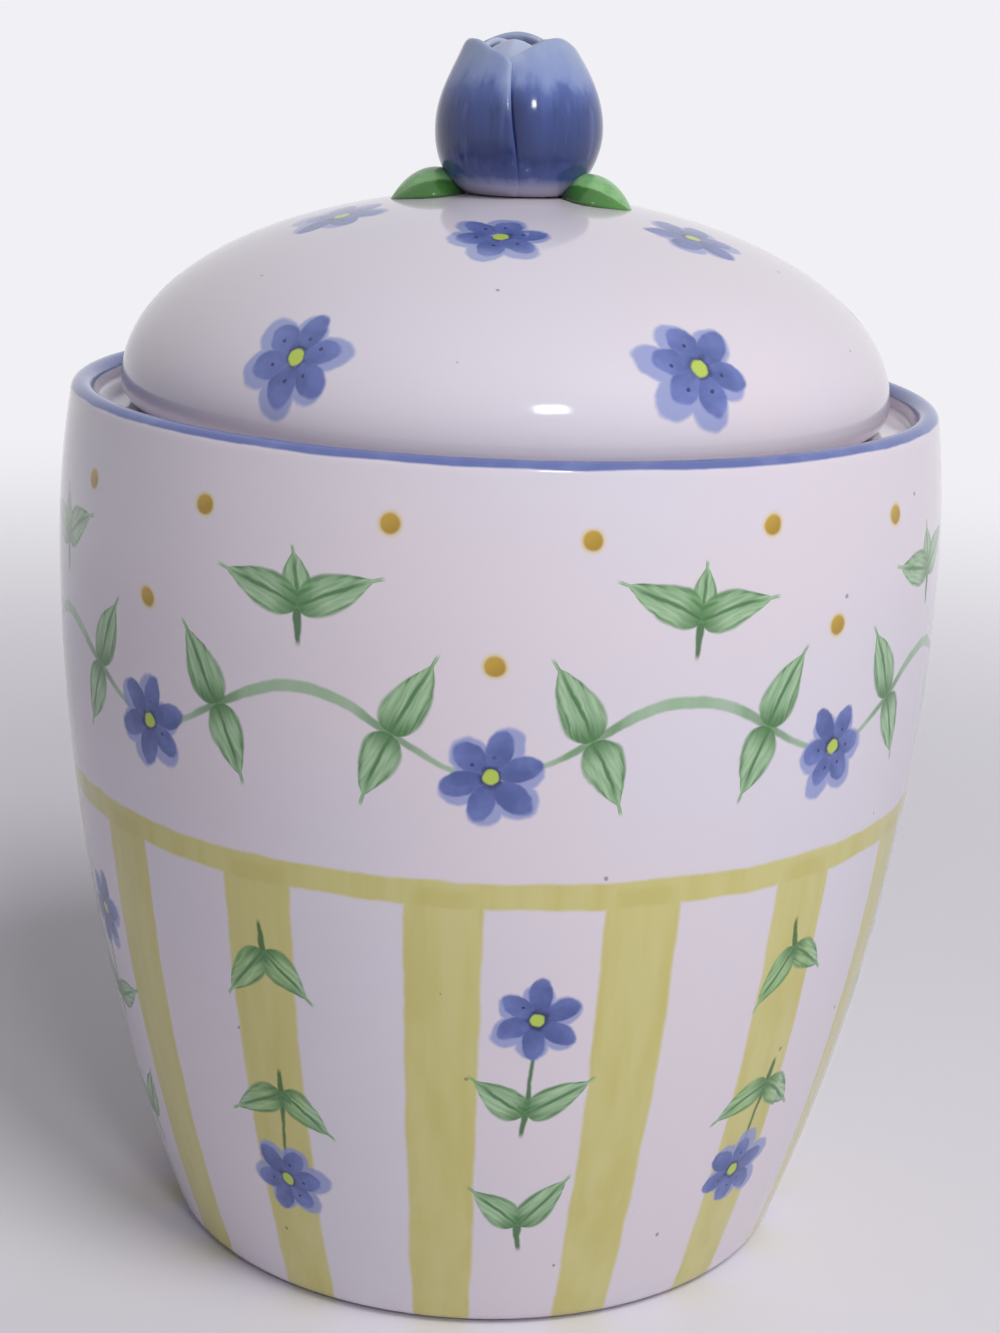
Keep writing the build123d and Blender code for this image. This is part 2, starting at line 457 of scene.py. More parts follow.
def unwrapTurned(bm, along, islands):  # strips and discs, so that each painted zone lies flat
    uv = bm.loops.layers.uv.new("OFBake")
    for face in bm.faces:
        middle = sum(vert[along] for vert in face.verts) / len(face.verts)
        island = next(one for one in islands if one["start"] <= middle <= one["end"])
        centre = face.calc_center_median()
        facing = math.atan2(centre.y, centre.x)
        lowU, lowV, highU, highV = island["room"]
        wide, tall = highU - lowU, highV - lowV
        for loop in face.loops:
            spot = loop.vert.co
            angle = math.atan2(spot.y, spot.x) if spot.xy.length > 1e-5 else facing
            angle += 2 * math.pi * round((facing - angle) / (2 * math.pi))
            share = (loop.vert[along] - island["start"]) / (island["end"] - island["start"])
            if island["kind"] == "disc":
                reach = (1 - share if island["inward"] else share) / 2
                u = lowU + wide * (0.5 + reach * math.cos(angle))
                v = lowV + tall * (0.5 + reach * math.sin(angle))
            elif island["kind"] == "halves":  # front half below, back half above, a little apart
                back = facing >= 0
                u = lowU + wide * (angle / math.pi + (0 if back else 1))
                v = lowV + tall / 2 * ((1 if back else 0) + share * 0.98)
            else:
                u = lowU + wide * (angle / math.pi + 1) / 2
                v = lowV + tall * share
            loop[uv].uv = (u, v)


def outlineStops(bm, along):  # finds the length along an outline at one of its points, and the whole length
    def spot(radius, height):
        return round(radius, 6), round(height, 6)

    def stopAt(point):
        return lengths[spot(*point)]

    lengths = {spot(vert.co.xy.length, vert.co.z): vert[along] for vert in bm.verts}
    return stopAt, max(lengths.values())


def addPiece(name, bm, material, body, slot, *nodes):
    mesh = bpy.data.meshes.new(name)
    bm.to_mesh(mesh)
    bm.free()
    mesh.materials.append(material)
    piece = bpy.data.objects.new(name, mesh)
    scene.collection.objects.link(piece)
    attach(piece, body)
    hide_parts(*nodes)
    return piece


def arc(centre, radius, start, end, count):  # points on an arc, angles in degrees from outwards
    angles = [math.radians(start + (end - start) * k / count) for k in range(count + 1)]
    return [(centre[0] + radius * math.cos(a), centre[1] + radius * math.sin(a)) for a in angles]


# jar: foot ring, wall of two arcs, rolled lip and the ledge under the lid
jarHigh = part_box("jar_body")[1]
jar = dict(
    height=jarHigh.z, bellyRadius=jarHigh.x, bellyHeight=0.143,
    lowerCurve=0.430, upperCurve=0.190,
    wall=0.0055, floor=0.0065, floorCorner=0.014,
    footRound=0.004, footRing=0.007, footRecess=0.0025,
    lip=0.0046, lidRoom=0.0053, lidRoll=0.0047, seat=0.0031, collarGap=0.0012,
    ledgeDrop=0.005, ledgeThickness=0.005, haunch=0.015,
    recessRound=0.0008, ringRound=0.0006, ledgeCorner=0.0012, ledgeEdge=0.0009, ledgeUnder=0.0018,
    steps=192, wallRings=44,
)
jarPaint = dict(
    wobble=0.75, soft=0.45,  # half the width of a soft edge
    stripes=15, stripeTurn=-4.8, stripeHalf=4.75,  # degrees
    bandLow=94.6, bandHigh=99.7,  # millimetres up the wall
    columns=10, columnTurn=7.2, columnStray=5.0,
    sprigLow=26.0, sprigStep=54.0, sprigLean=0.7, sprigLeaf=14.0, sprigVary=5.0,
    flowerHeight=63.0, flowerStep=24.0, flowerLean=0.5, flowerUp=9.5, flowerSize=8.4,
    vineCount=8, vineLow=120.0, vineRise=13.0, vineHalf=0.75, vineFlower=9.0, leafLength=16.5, leafWidth=4.0,
    crestHeight=147.5, crestStray=3.0, crestLean=0.3,
    dot=2.0, dotAcross=8.0, dotUp=5.0,
    dotRows=(
        dict(count=16, height=161.0, turn=0.5, seed=2.1),
        dict(count=8, height=141.5, turn=0.0, seed=7.9),
    ),
    speck=0.6,
)


def wallRadius(height, depth=0.0):
    curve = jar["lowerCurve"] if height < jar["bellyHeight"] else jar["upperCurve"]
    rise = height - jar["bellyHeight"]
    return jar["bellyRadius"] - curve + math.sqrt((curve - depth) ** 2 - rise**2)


def wallCorner(base, radius, depth, count):  # arc from a flat up into the lower wall
    reach = jar["lowerCurve"] - depth
    middle = jar["bellyRadius"] - jar["lowerCurve"]
    rise = base + radius - jar["bellyHeight"]
    run = math.sqrt((reach - radius) ** 2 - rise**2)
    return arc((middle + run, base + radius), radius, -90, math.degrees(math.atan2(rise, run)), count)


def wallRings(low, high, depth=0.0):
    heights = [low + (high - low) * k / jar["wallRings"] for k in range(jar["wallRings"] + 1)]
    return [(wallRadius(height, depth), height) for height in heights]


def makeJar(material):
    lipRound = jar["lip"] / 2
    lipSpring = jar["height"] - lipRound
    lipRadius = wallRadius(lipSpring)
    lipInner = lipRadius - jar["lip"]
    ledge = jar["height"] - jar["ledgeDrop"]
    mouth = lipInner - jar["lidRoom"] - jar["lidRoll"] - jar["seat"]
    haunch = ledge - jar["ledgeThickness"] - jar["haunch"]
    foot = wallCorner(0.0, jar["footRound"], 0.0, 6)
    footInner = foot[0][0] - jar["footRing"]
    recess = jar["footRecess"]
    recessEdge = (footInner - recess, recess, jar["recessRound"])
    corner = wallCorner(jar["floor"], jar["floorCorner"], jar["wall"], 8)
    under = [(0.0, recess), recessEdge, (footInner, 0.0, jar["ringRound"])]
    outside = foot + wallRings(foot[-1][1], lipSpring)[1:]
    lip = arc((lipRadius - lipRound, lipSpring), lipRound, 0, 180, 12)[1:]
    inside = [
        (lipInner, ledge, jar["ledgeCorner"]), (mouth, ledge, jar["ledgeEdge"]),
        (mouth, ledge - jar["ledgeThickness"], jar["ledgeUnder"]),
    ]
    inside += wallRings(haunch, corner[-1][1], jar["wall"]) + corner[-2::-1] + [(0.0, jar["floor"])]
    bm, along = turnOutline(under + outside + lip + inside, jar["steps"])
    stopAt, end = outlineStops(bm, along)
    footStop, lipStop, lipEnd, floorStop = (stopAt(one) for one in (foot[0], outside[-1], lip[-1], corner[0]))
    islands = [
        dict(kind="disc", inward=False, start=0.0, end=footStop, room=(0.82, 0.80, 0.995, 0.985)),
        dict(kind="halves", start=footStop, end=lipEnd, room=(0.005, 0.005, 0.80, 0.995)),
        dict(kind="strip", start=lipEnd, end=floorStop, room=(0.82, 0.005, 0.995, 0.59)),
        dict(kind="disc", inward=True, start=floorStop, end=end, room=(0.82, 0.60, 0.995, 0.785)),
    ]
    unwrapTurned(bm, along, islands)
    return addPiece("jarBody", bm, material(footStop * mm, lipStop * mm), "jar", "white_glaze", "jar_body")


def jarGlaze(foot, lip):  # where the foot and the lip begin, along the outline
    material, tree, shader = startMaterial("jarGlaze")
    p = jarPaint
    place, height, radius, angle = placeOn(tree)
    along = attribute(tree, "along") * mm
    strayAcross, strayUp = useGroup(tree, marks["wobble"], place, p["wobble"])
    up = height + strayUp
    white = plainGlaze(tree, place)
    colour = white

    # yellow stripes below a yellow band, brushed on in long strokes
    soft = p["soft"]
    stroke = clouds(tree, place, 260.0, 2.0, (1.0, 1.0, 0.06))
    offStripe, _ = repeated(angle, p["stripes"], math.radians(p["stripeTurn"]))
    edge = abs(offStripe * radius + strayAcross * 0.7) - radius * math.radians(p["stripeHalf"])
    bandLow, bandHigh = p["bandLow"], p["bandHigh"]
    stripe = edge.fall(-soft, soft) * up.fall(bandHigh - 2.6, bandHigh - 0.6)
    band = up.rise(bandLow - soft, bandLow + soft) * up.fall(bandHigh - soft, bandHigh + soft)
    yellow = layer(tree, paint["yellow"], paint["yellowDeep"], stroke.rise(0.3, 0.8) * 0.45)
    colour = layer(tree, colour, yellow, stripe.calc("MAXIMUM", band) * (stroke * 0.14 + 0.86))
    colour = layer(tree, colour, paint["yellowDeep"], band * stripe * edge.fall(-4.0, 0.0) * 0.45)

    # lower zone: ten columns, with the sprigs upright and upside down by turns
    offColumn, column = repeated(angle, p["columns"], math.radians(p["columnTurn"]))
    odd = column.calc("MODULO", 2.0)
    flip = 1.0 - odd * 2.0
    chance = luck(tree, column, seed=3.7)
    across = offColumn * radius + strayAcross + (chance - 0.5) * p["columnStray"]
    sprigUp = (up - p["sprigLow"] - odd * p["sprigStep"]) * flip
    side, rise = leaned(across, sprigUp, (chance - 0.5) * p["sprigLean"])
    uneven = side.calc("SIGN") * (chance - 0.5) * p["sprigVary"] + p["sprigLeaf"]
    colour = addStem(tree, colour, side, rise, low=-6.5, high=2.0, joint=0.0, half=0.55)
    colour = addLeaf(tree, colour, abs(side), rise, degrees=42, length=uneven, width=3.3, bend=0.08)
    flowerUp = (up - p["flowerHeight"] + odd * p["flowerStep"]) * flip
    side, rise = leaned(across, flowerUp, (0.5 - chance) * p["flowerLean"])
    colour = addStem(tree, colour, side, rise, low=-16.0, high=9.0, joint=-10.5, half=0.5)
    colour = addLeaf(tree, colour, abs(side), rise + 11.0, degrees=27, length=uneven, width=3.2, bend=0.12)
    colour = addFlower(tree, colour, side, rise - p["flowerUp"], p["flowerSize"], chance)

    # vine above the band, with a flower in each hollow and a pair of leaves on each slope
    count = p["vineCount"]
    swing = p["vineRise"] / 2
    wave = (angle * count).calc("COSINE") * -swing + (p["vineLow"] + swing)
    slope = (angle * count).calc("SINE") * (swing * count) / radius
    offVine = (up - wave) / (slope * slope + 1.0).calc("SQRT")
    offCell, cell = repeated(angle, count)
    chance = luck(tree, cell, seed=11.3)
    across = offCell * radius + strayAcross
    quarter = math.pi / count / 2 * jar["bellyRadius"] * mm
    out = abs(across) - quarter
    rise = up - p["vineLow"] - swing
    half = out.rise(-10.0, 14.0) * 0.55 + p["vineHalf"] * 0.7
    thick = (abs(offVine) - half).fall(-0.3, 0.3)
    vine = layer(tree, paint["vine"], paint["vineDark"], abs(out).fall(1.0, 9.0) * 0.85)
    colour = layer(tree, colour, vine, thick * (stroke * 0.5 + 0.6))
    long, wide = p["leafLength"], p["leafWidth"]
    colour = addLeaf(tree, colour, out, rise, degrees=112, length=long, width=wide, bend=0.10)
    colour = addLeaf(tree, colour, out, rise, degrees=-62, length=long * 0.9, width=wide * 0.95, bend=-0.12)
    colour = addFlower(tree, colour, across, up - p["vineLow"], p["vineFlower"], chance)

    # three-leaf sprigs over the crests
    offCrest, crest = repeated(angle, count, math.pi / count)
    chance = luck(tree, crest, seed=5.9)
    across = offCrest * radius + strayAcross + (chance - 0.5) * p["crestStray"]
    side, rise = leaned(across, up - p["crestHeight"], (chance - 0.5) * p["crestLean"])
    colour = addStem(tree, colour, side, rise, low=-6.5, high=1.5, joint=0.0, half=0.6)
    colour = addLeaf(tree, colour, side, rise, degrees=90, length=10.5, width=2.9, bend=0.06)
    colour = addLeaf(tree, colour, abs(side), rise, degrees=24, length=17.0, width=3.6, bend=-0.10)

    # gold dots, thicker on one side
    for row in p["dotRows"]:
        offDot, dot = repeated(angle, row["count"], row["turn"] * 2 * math.pi / row["count"])
        chance = luck(tree, dot, row["seed"])
        stray = luck(tree, dot, row["seed"] + 40.0) - 0.5
        across = offDot * radius + strayAcross * 0.6 + (chance - 0.5) * p["dotAcross"]
        rise = height + strayUp * 0.6 - row["height"] - stray * p["dotUp"]
        far = (across * across + rise * rise).calc("SQRT")
        colour = layer(tree, colour, paint["goldPale"], far.fall(p["dot"] - 0.1, p["dot"] + 0.7) * 0.6)
        thickness = (across * 0.6 - rise + (chance - 0.5) * 2.0).rise(-1.6, 2.4)
        gold = layer(tree, paint["gold"], paint["goldDeep"], thickness * 0.7)
        colour = layer(tree, colour, gold, far.fall(p["dot"] - 0.5, p["dot"] + 0.1))

    # iron specks; the inside stays plain
    aroundWall = angle * (jar["bellyRadius"] * mm)
    colour = addSpecks(tree, colour, aroundWall + strayAcross, up, p["speck"])
    colour = layer(tree, white, colour, along.rise(foot + 0.8, foot + 2.2) * along.fall(lip + 1.0, lip + 2.0))

    # blue rim, and bare clay under the foot
    lipRound = jar["lip"] / 2 * mm
    rimLow, rimHigh = lip + lipRound * 0.48, lip + lipRound * 3.0
    rimmed = along + strayUp * 0.4
    rim = rimmed.rise(rimLow - 0.25, rimLow + 0.25) * rimmed.fall(rimHigh - 0.3, rimHigh + 0.3)
    rimTone = layer(tree, paint["rim"], paint["rimPale"], clouds(tree, place, 120.0).rise(0.4, 0.75) * 0.6)
    colour = layer(tree, colour, rimTone, rim)
    bare = along.fall(foot + 0.2, foot + 1.4) * height.fall(0.5, 1.2)
    clay = layer(tree, paint["clay"], paint["clayDark"], clouds(tree, place, 900.0, 3.0))
    colour = layer(tree, colour, clay, bare)
    finishGlaze(tree, shader, place, colour, bare * 0.6 + glossOf(tree, place), glaze["ripple"])
    return material


jarPiece = makeJar(jarGlaze)
print("jar turned:", len(jarPiece.data.polygons), "faces")


# lid: a hollow dome with a rolled edge, and a collar with a groove for the ring
lidLow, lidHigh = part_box("lid_dome")
lid = dict(
    radius=lidHigh.x, crown=lidHigh.z, collarBottom=lidLow.z,
    roll=jar["lidRoll"], seat=0.1701, domeThickness=0.0045, fullness=0.5523,
    collarRadius=lidHigh.x - jar["lidRoll"] - jar["seat"] - jar["collarGap"], collarThickness=0.005,
    grooveDepth=0.0022, grooveHeight=0.005, grooveDrop=0.0035,
    seatRound=0.0012, collarRound=0.0016, grooveEdge=0.0004, grooveCorner=0.0005,
    steps=192, domeRings=44,
)
lidPaint = dict(
    wobble=0.8, flowers=6, stray=6.0, speck=0.5, speckRadius=60.0,
    rings=(dict(out=78.0, size=10.5, turn=0.5, seed=4.3), dict(out=39.0, size=10.0, turn=0.0, seed=9.1)),
)


def domeLine(radius, height, base):  # from the crown out to the upright edge
    points = []
    for k in range(lid["domeRings"] + 1):
        t = k / lid["domeRings"]
        outwards = 3 * (1 - t) ** 2 * t * lid["fullness"] + 3 * (1 - t) * t**2 + t**3
        upwards = (1 - t) ** 3 + 3 * (1 - t) ** 2 * t + 3 * (1 - t) * t**2 * lid["fullness"]
        points.append((radius * outwards, base + height * upwards))
    return points


def makeLid(material):
    edge = lid["seat"] + lid["roll"]
    outer = lid["collarRadius"]
    inner = outer - lid["collarThickness"]
    grooveTop = lid["seat"] - lid["grooveDrop"]
    grooveLow = grooveTop - lid["grooveHeight"]
    grooveIn = outer - lid["grooveDepth"]
    dome = domeLine(lid["radius"], lid["crown"] - edge, edge)
    roll = arc((lid["radius"] - lid["roll"], edge), lid["roll"], 0, -90, 10)[1:]
    collar = [
        (outer, lid["seat"], lid["seatRound"]),
        (outer, grooveTop, lid["grooveEdge"]), (grooveIn, grooveTop, lid["grooveCorner"]),
        (grooveIn, grooveLow, lid["grooveCorner"]), (outer, grooveLow, lid["grooveEdge"]),
        (outer, lid["collarBottom"], lid["collarRound"]), (inner, lid["collarBottom"], lid["collarRound"]),
    ]
    hollow = domeLine(inner, lid["crown"] - lid["domeThickness"] - edge, edge)[::-1]
    bm, along = turnOutline(dome + roll + collar + hollow, lid["steps"])
    stopAt, end = outlineStops(bm, along)
    rollEnd, hollowStart = stopAt(roll[-1]), stopAt(hollow[0])
    islands = [
        dict(kind="disc", inward=False, start=0.0, end=rollEnd, room=(0.005, 0.24, 0.76, 0.995)),
        dict(kind="strip", start=rollEnd, end=hollowStart, room=(0.005, 0.005, 0.995, 0.12)),
        dict(kind="disc", inward=True, start=hollowStart, end=end, room=(0.77, 0.77, 0.995, 0.995)),
    ]
    unwrapTurned(bm, along, islands)
    return addPiece("lidDome", bm, material(rollEnd), "lid", "white_glaze", "lid_dome")


def lidGlaze(rollEnd):
    material, tree, shader = startMaterial("lidGlaze")
    p = lidPaint
    place, _, radius, angle = placeOn(tree)
    along = attribute(tree, "along") * mm  # from the crown
    strayAcross, strayUp = useGroup(tree, marks["wobble"], place, p["wobble"])
    white = plainGlaze(tree, place)
    colour = white
    for ring in p["rings"]:
        offFlower, number = repeated(angle, p["flowers"], ring["turn"] * 2 * math.pi / p["flowers"])
        chance = luck(tree, number, ring["seed"])
        shift = luck(tree, number, ring["seed"] + 20.0) - 0.5
        across = offFlower * radius + strayAcross + (chance - 0.5) * p["stray"]
        rise = along * -1.0 + ring["out"] + strayUp + shift * p["stray"]
        colour = addFlower(tree, colour, across, rise, ring["size"], chance)
    colour = addSpecks(tree, colour, angle * p["speckRadius"] + strayAcross, along + strayUp, p["speck"])
    colour = layer(tree, white, colour, along.fall(rollEnd * mm - 0.5, rollEnd * mm))
    finishGlaze(tree, shader, place, colour, glossOf(tree, place), glaze["ripple"])
    return material


lidPiece = makeLid(lidGlaze)
print("lid turned:", len(lidPiece.data.polygons), "faces")


# sealing ring in the collar's groove
seal = dict(
    round=0.0008, lipDepth=0.0006, lipRound=0.0004, lipShare=0.6, gap=0.0003, steps=192,
    milky="d9d8d2", shade="cfcdc4", dust="e8e6e0",
)


def makeSeal():
    low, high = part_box("sealing_ring")
    outer = high.x
    inner = lid["collarRadius"] - lid["grooveDepth"] + seal["gap"]
    middle = (low.z + high.z) / 2
    waist = outer - seal["lipDepth"]
    lip = (high.z - low.z) / 4 * seal["lipShare"]
    soft = seal["lipRound"]
    outline = [
        (inner, low.z), (outer, low.z, seal["round"]),
        (outer, middle - lip, soft), (waist, middle, soft), (outer, middle + lip, soft),
        (outer, high.z, seal["round"]), (inner, high.z),
    ]
    bm, _ = turnOutline(outline, seal["steps"], closed=True)
    material, tree, shader = startMaterial("milkySilicone")
    place = objectPlace(tree)
    colour = layer(tree, seal["milky"], seal["shade"], clouds(tree, place, 180.0, 3.0).rise(0.4, 0.7))
    dust = clouds(tree, place, 1400.0).rise(0.62, 0.72)
    feed(tree, layer(tree, colour, seal["dust"], dust * 0.5), shader.inputs["Base Color"])
    feed(tree, dust * 0.2 + 0.42, shader.inputs["Roughness"])
    shader.inputs["Subsurface Weight"].default_value = 0.15
    shader.inputs["Subsurface Scale"].default_value = 0.002
    return addPiece("sealingRing", bm, material, "seal", "soft_ring", "sealing_ring")


makeSeal()
print("sealing ring turned")


# tulip bud: six petals in two whorls round a core
bud = dict(
    footRadius=0.0094, bellyRadius=0.0167, sink=0.0004, bellyRise=0.0122,
    closing=25.0, straightAfter=0.013,  # above the belly the bud closes in a curve, then straight to the tips
    height=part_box("outer_petal_left")[1].z - lid["crown"],
    thickness=0.0016, trim=0.0002, soften=0.0004, archRadius=0.0092, gap=0.0003,
    outerHalf=66.0, innerHalf=57.0, step=120.0, back=76.0,  # degrees
    tips=dict(  # how low each tip is, how far it closes in, and the degrees that it leans round the bud
        outerBack=(-0.0003, 0.0, 8.0), outerLeft=(0.0012, -0.0012, 10.0), outerRight=(0.0005, 0.0, 0.0),
        innerLeft=(0.0010, 0.0, 0.0), innerFront=(0.0010, 0.0020, 0.0), innerRight=(0.0008, 0.0004, 0.0),
    ),
    closeStart=0.7, grown=0.4, rootSlide=0.2,  # the petals grow together at the foot
    seamLean=0.24,  # the front seam slants
    flare=0.0003, flareStart=0.7, tuck=0.0006, tuckStart=0.55,  # one edge stands out and one tucks in
    fold=0.0004, foldHalf=0.16, foldStart=0.35,  # soft fold up the middle
    shoulder=dict(drop=0.0015, slope=0.0011, tipArch=0.0082, corner=0.0020, cornerStart=0.74),
    columns=34, rows=32, footCrowd=1.4,  # rows crowd at the round foot
)


def budRadius(above):  # the bud's outline, from its round foot to the tips
    if above < bud["bellyRise"]:
        share = min(1.0, (bud["bellyRise"] - above) / (bud["bellyRise"] + bud["sink"]))
        return bud["footRadius"] + (bud["bellyRadius"] - bud["footRadius"]) * (1 - share * share) ** 0.6
    rise = above - bud["bellyRise"]
    curved = min(rise, bud["straightAfter"])
    return bud["bellyRadius"] - bud["closing"] * curved * (2 * rise - curved)


def domeTop(radius):  # height of the dome's surface at a distance from the axis
    share = radius / lid["radius"]
    edge = lid["seat"] + lid["roll"]
    return edge + (lid["crown"] - edge) * math.sqrt(1 - share * share)


def addWall(piece, thickness):
    wall = piece.modifiers.new("wall", "SOLIDIFY")
    wall.thickness = thickness
    wall.offset = -1
    soften = piece.modifiers.new("soften", "SUBSURF")
    soften.levels = soften.render_levels = 1
    return piece


def archFall(radius, across):  # how far a round tip has fallen, at a distance across
    return radius - math.sqrt(max(0.0, radius**2 - across**2))


def past(start, value):  # share of the way from start to 1
    return max(0.0, (value - start) / (1 - start))


def shoulderFall(side, across):  # the left petal is level beside its tip
    shoulder = bud["shoulder"]
    corner = shoulder["corner"] * past(shoulder["cornerStart"], side) ** 2.5
    level = shoulder["drop"] + shoulder["slope"] * side + corner
    steep = archFall(shoulder["tipArch"], across)
    return (steep**-4 + level**-4) ** -0.25 if steep > 0 else 0.0  # the lesser of the two, blended


def startBlade(columns, rows):
    bm = bmesh.new()
    along = bm.verts.layers.float.new("along")
    off = bm.verts.layers.float.new("off")
    bmesh.ops.create_grid(bm, x_segments=columns, y_segments=rows, size=1.0)
    return bm, along, off


def turnBlade(bm, azimuth, outwards):  # bring it round to its place, with its face out
    turn = Matrix.Rotation(math.radians(azimuth), 3, "Z")
    bmesh.ops.rotate(bm, verts=bm.verts[:], cent=(0, 0, 0), matrix=turn)
    bmesh.ops.recalc_face_normals(bm, faces=bm.faces[:])
    if sum(outwards(face) for face in bm.faces) < 0:
        bmesh.ops.reverse_faces(bm, faces=bm.faces[:])
    for face in bm.faces:
        face.smooth = True


def makePetal(name, node, azimuth, whorl, tip, material):
    crown = lid["crown"]
    drop, close, lean = tip
    peak = bud["height"] - drop
    half = math.radians(whorl["half"])
    tipReach = budRadius(peak) - whorl["inset"]
    low = domeTop(bud["footRadius"] - whorl["inset"])
    bm, along, off = startBlade(bud["columns"], bud["rows"])
    for vert in bm.verts:
        side, share = vert.co.x, ((vert.co.y + 1) / 2) ** bud["footCrowd"]
        vert[along], vert[off] = share, side
        angle = side * half
        across = tipReach * math.sin(angle - math.radians(lean))
        fall = archFall(bud["archRadius"], across)
        if name == "outerPetalLeft" and side > 0:
            fall = shoulderFall(side, across)
        height = low + (crown + peak - fall - bud["soften"] - low) * share
        out = budRadius(height - crown) - whorl["inset"] - bud["soften"]
        out += bud["fold"] * math.exp(-((angle / bud["foldHalf"]) ** 2)) * max(0.0, share - bud["foldStart"])
        out -= close * past(bud["closeStart"], share) ** 2
        slide = 0.0
        if whorl["shift"] > 0:
            angle += bud["seamLean"] * max(0.0, side) ** 2 * (1 - share) ** 1.5
            grown = min(1.0, share / bud["grown"])
            out += grown * bud["flare"] * past(bud["flareStart"], side)
            out -= grown * bud["tuck"] * past(bud["tuckStart"], -side)
            slide = whorl["shift"] * (bud["rootSlide"] + (1 - bud["rootSlide"]) * grown)
        vert.co = (out * math.cos(angle), out * math.sin(angle) + slide, height)
    turnBlade(bm, azimuth, lambda face: face.normal.xy.dot(face.calc_center_median().xy))
    piece = addPiece(name, bm, material, "lid", "blue_glaze", node)
    return addWall(piece, bud["thickness"] - bud["trim"])


petalTones = dict(
    stops=(  # from the foot to the tips, in shares of the bud's height
        (0.01, "a29dae"), (0.06, "9697b3"), (0.12, "42528b"), (0.24, "29396f"),
        (0.53, "384a86"), (0.64, "5164a2"), (0.73, "7e8ebd"), (1.0, "98a6c6"),
    ),
    # seam is painted shade in the crevice at each tucked edge, edge is a painted highlight on each standing
    # edge, inside is painted light on the shaded inner faces
    stroke="252e58", paleStroke="5f6da8", seam="1d2550", edge="a9b3d2", inside="b7bfd8",
)


def petalGlaze():
    material, tree, shader = startMaterial("petalGlaze")
    place, height, radius, _ = placeOn(tree)
    off = attribute(tree, "off")
    above = height - lid["crown"] * mm
    tall = bud["height"] * mm
    wide = clouds(tree, place, 330.0, 3.0, (1.0, 1.0, 0.07))
    fine = clouds(tree, place, 640.0, 3.0, (1.0, 1.0, 0.05))
    stray = (wide - 0.5) * 8.0 + (fine - 0.5) * 3.0
    level = (above + stray * above.rise(0.0, 9.0)) / tall
    blend = tree.nodes.new("ShaderNodeValToRGB")
    feed(tree, level, blend.inputs[0])
    ramp = blend.color_ramp.elements
    for position, _ in petalTones["stops"][1:-1]:
        ramp.new(position)
    for element, (position, tint) in zip(ramp, petalTones["stops"]):
        element.position = position
        element.color = colourOf(tint)
    colour = Flow(tree, blend.outputs[0])
    middle = above.rise(3.5, 7.0) * above.fall(17.0, 22.0)
    # painted shade: darker blue along each petal's tucked edge, in the crevice under the next petal
    seam = off.fall(-0.84, -0.5) * above.rise(4.0, 10.0) * above.fall(16.0, 23.0)
    # painted highlight: a pale band up each petal's standing free edge
    edge = off.rise(0.86, 0.97) * above.rise(14.0, 21.0)
    # painted light: paler inner faces near the tips, lifting the shade inside the bud
    inner = radius + (above - tall) * 0.65 - budRadius(bud["height"]) * mm
    inside = inner.fall(-2.0, -1.0) * above.rise(23.0, 27.0)
    colour = layer(tree, colour, petalTones["stroke"], fine.rise(0.46, 0.76) * middle * 0.5)
    colour = layer(tree, colour, petalTones["paleStroke"], wide.fall(0.3, 0.44) * middle * 0.45)
    colour = layer(tree, colour, petalTones["seam"], seam * 0.85)
    colour = layer(tree, colour, petalTones["edge"], edge * 0.4)
    colour = layer(tree, colour, petalTones["inside"], inside * 0.8)
    finishGlaze(tree, shader, place, colour, wide * 0.08 + 0.08, glaze["budRipple"])
    return material


petalPaint = petalGlaze()
overlapStart = math.radians(bud["step"] - bud["outerHalf"])
petalShift = (bud["thickness"] + bud["gap"]) / (2 * math.sin(overlapStart))
innerInset = bud["thickness"] + petalShift + bud["gap"]
whorls = dict(
    outer=dict(sides="Back Left Right", first=0.0, half=bud["outerHalf"], inset=0.0, shift=petalShift),
    inner=dict(sides="Left Front Right", first=0.5, half=bud["innerHalf"], inset=innerInset, shift=0.0),
)
for kind, whorl in whorls.items():
    for step, side in enumerate(whorl["sides"].split()):
        azimuth = bud["back"] + (whorl["first"] + step) * bud["step"]
        node = kind + "_petal_" + side.lower()
        makePetal(kind + "Petal" + side, node, azimuth, whorl, bud["tips"][kind + side], petalPaint)
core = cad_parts["bud_core"]
core.data.materials.clear()
core.data.materials.append(petalPaint)
print("bud made")


# leaves at the bud's foot
leaf = dict(
    root=0.0056, tip=0.0252, sink=0.0018, rise=0.0082, lean=0.005, gap=0.0003, thickness=0.0014,
    left=187.0, right=341.0, leftStart=0.22, rightStart=0.29, rootTaper=0.5, rootEnd=0.4,
    crease=0.0004, creaseSide=0.58, creaseHalf=0.09,  # one crease at each side of the back
    columns=30, rows=24, tipCrowd=1.5,
    # side and the deeper side colour are painted shade on the down-facing sides; the root colour is a painted
    # shadow
    back="72a96a", backPale="86b97c", side="3f7c28", deepSideShade="2d5b22", rootShadow="2f5134",
)


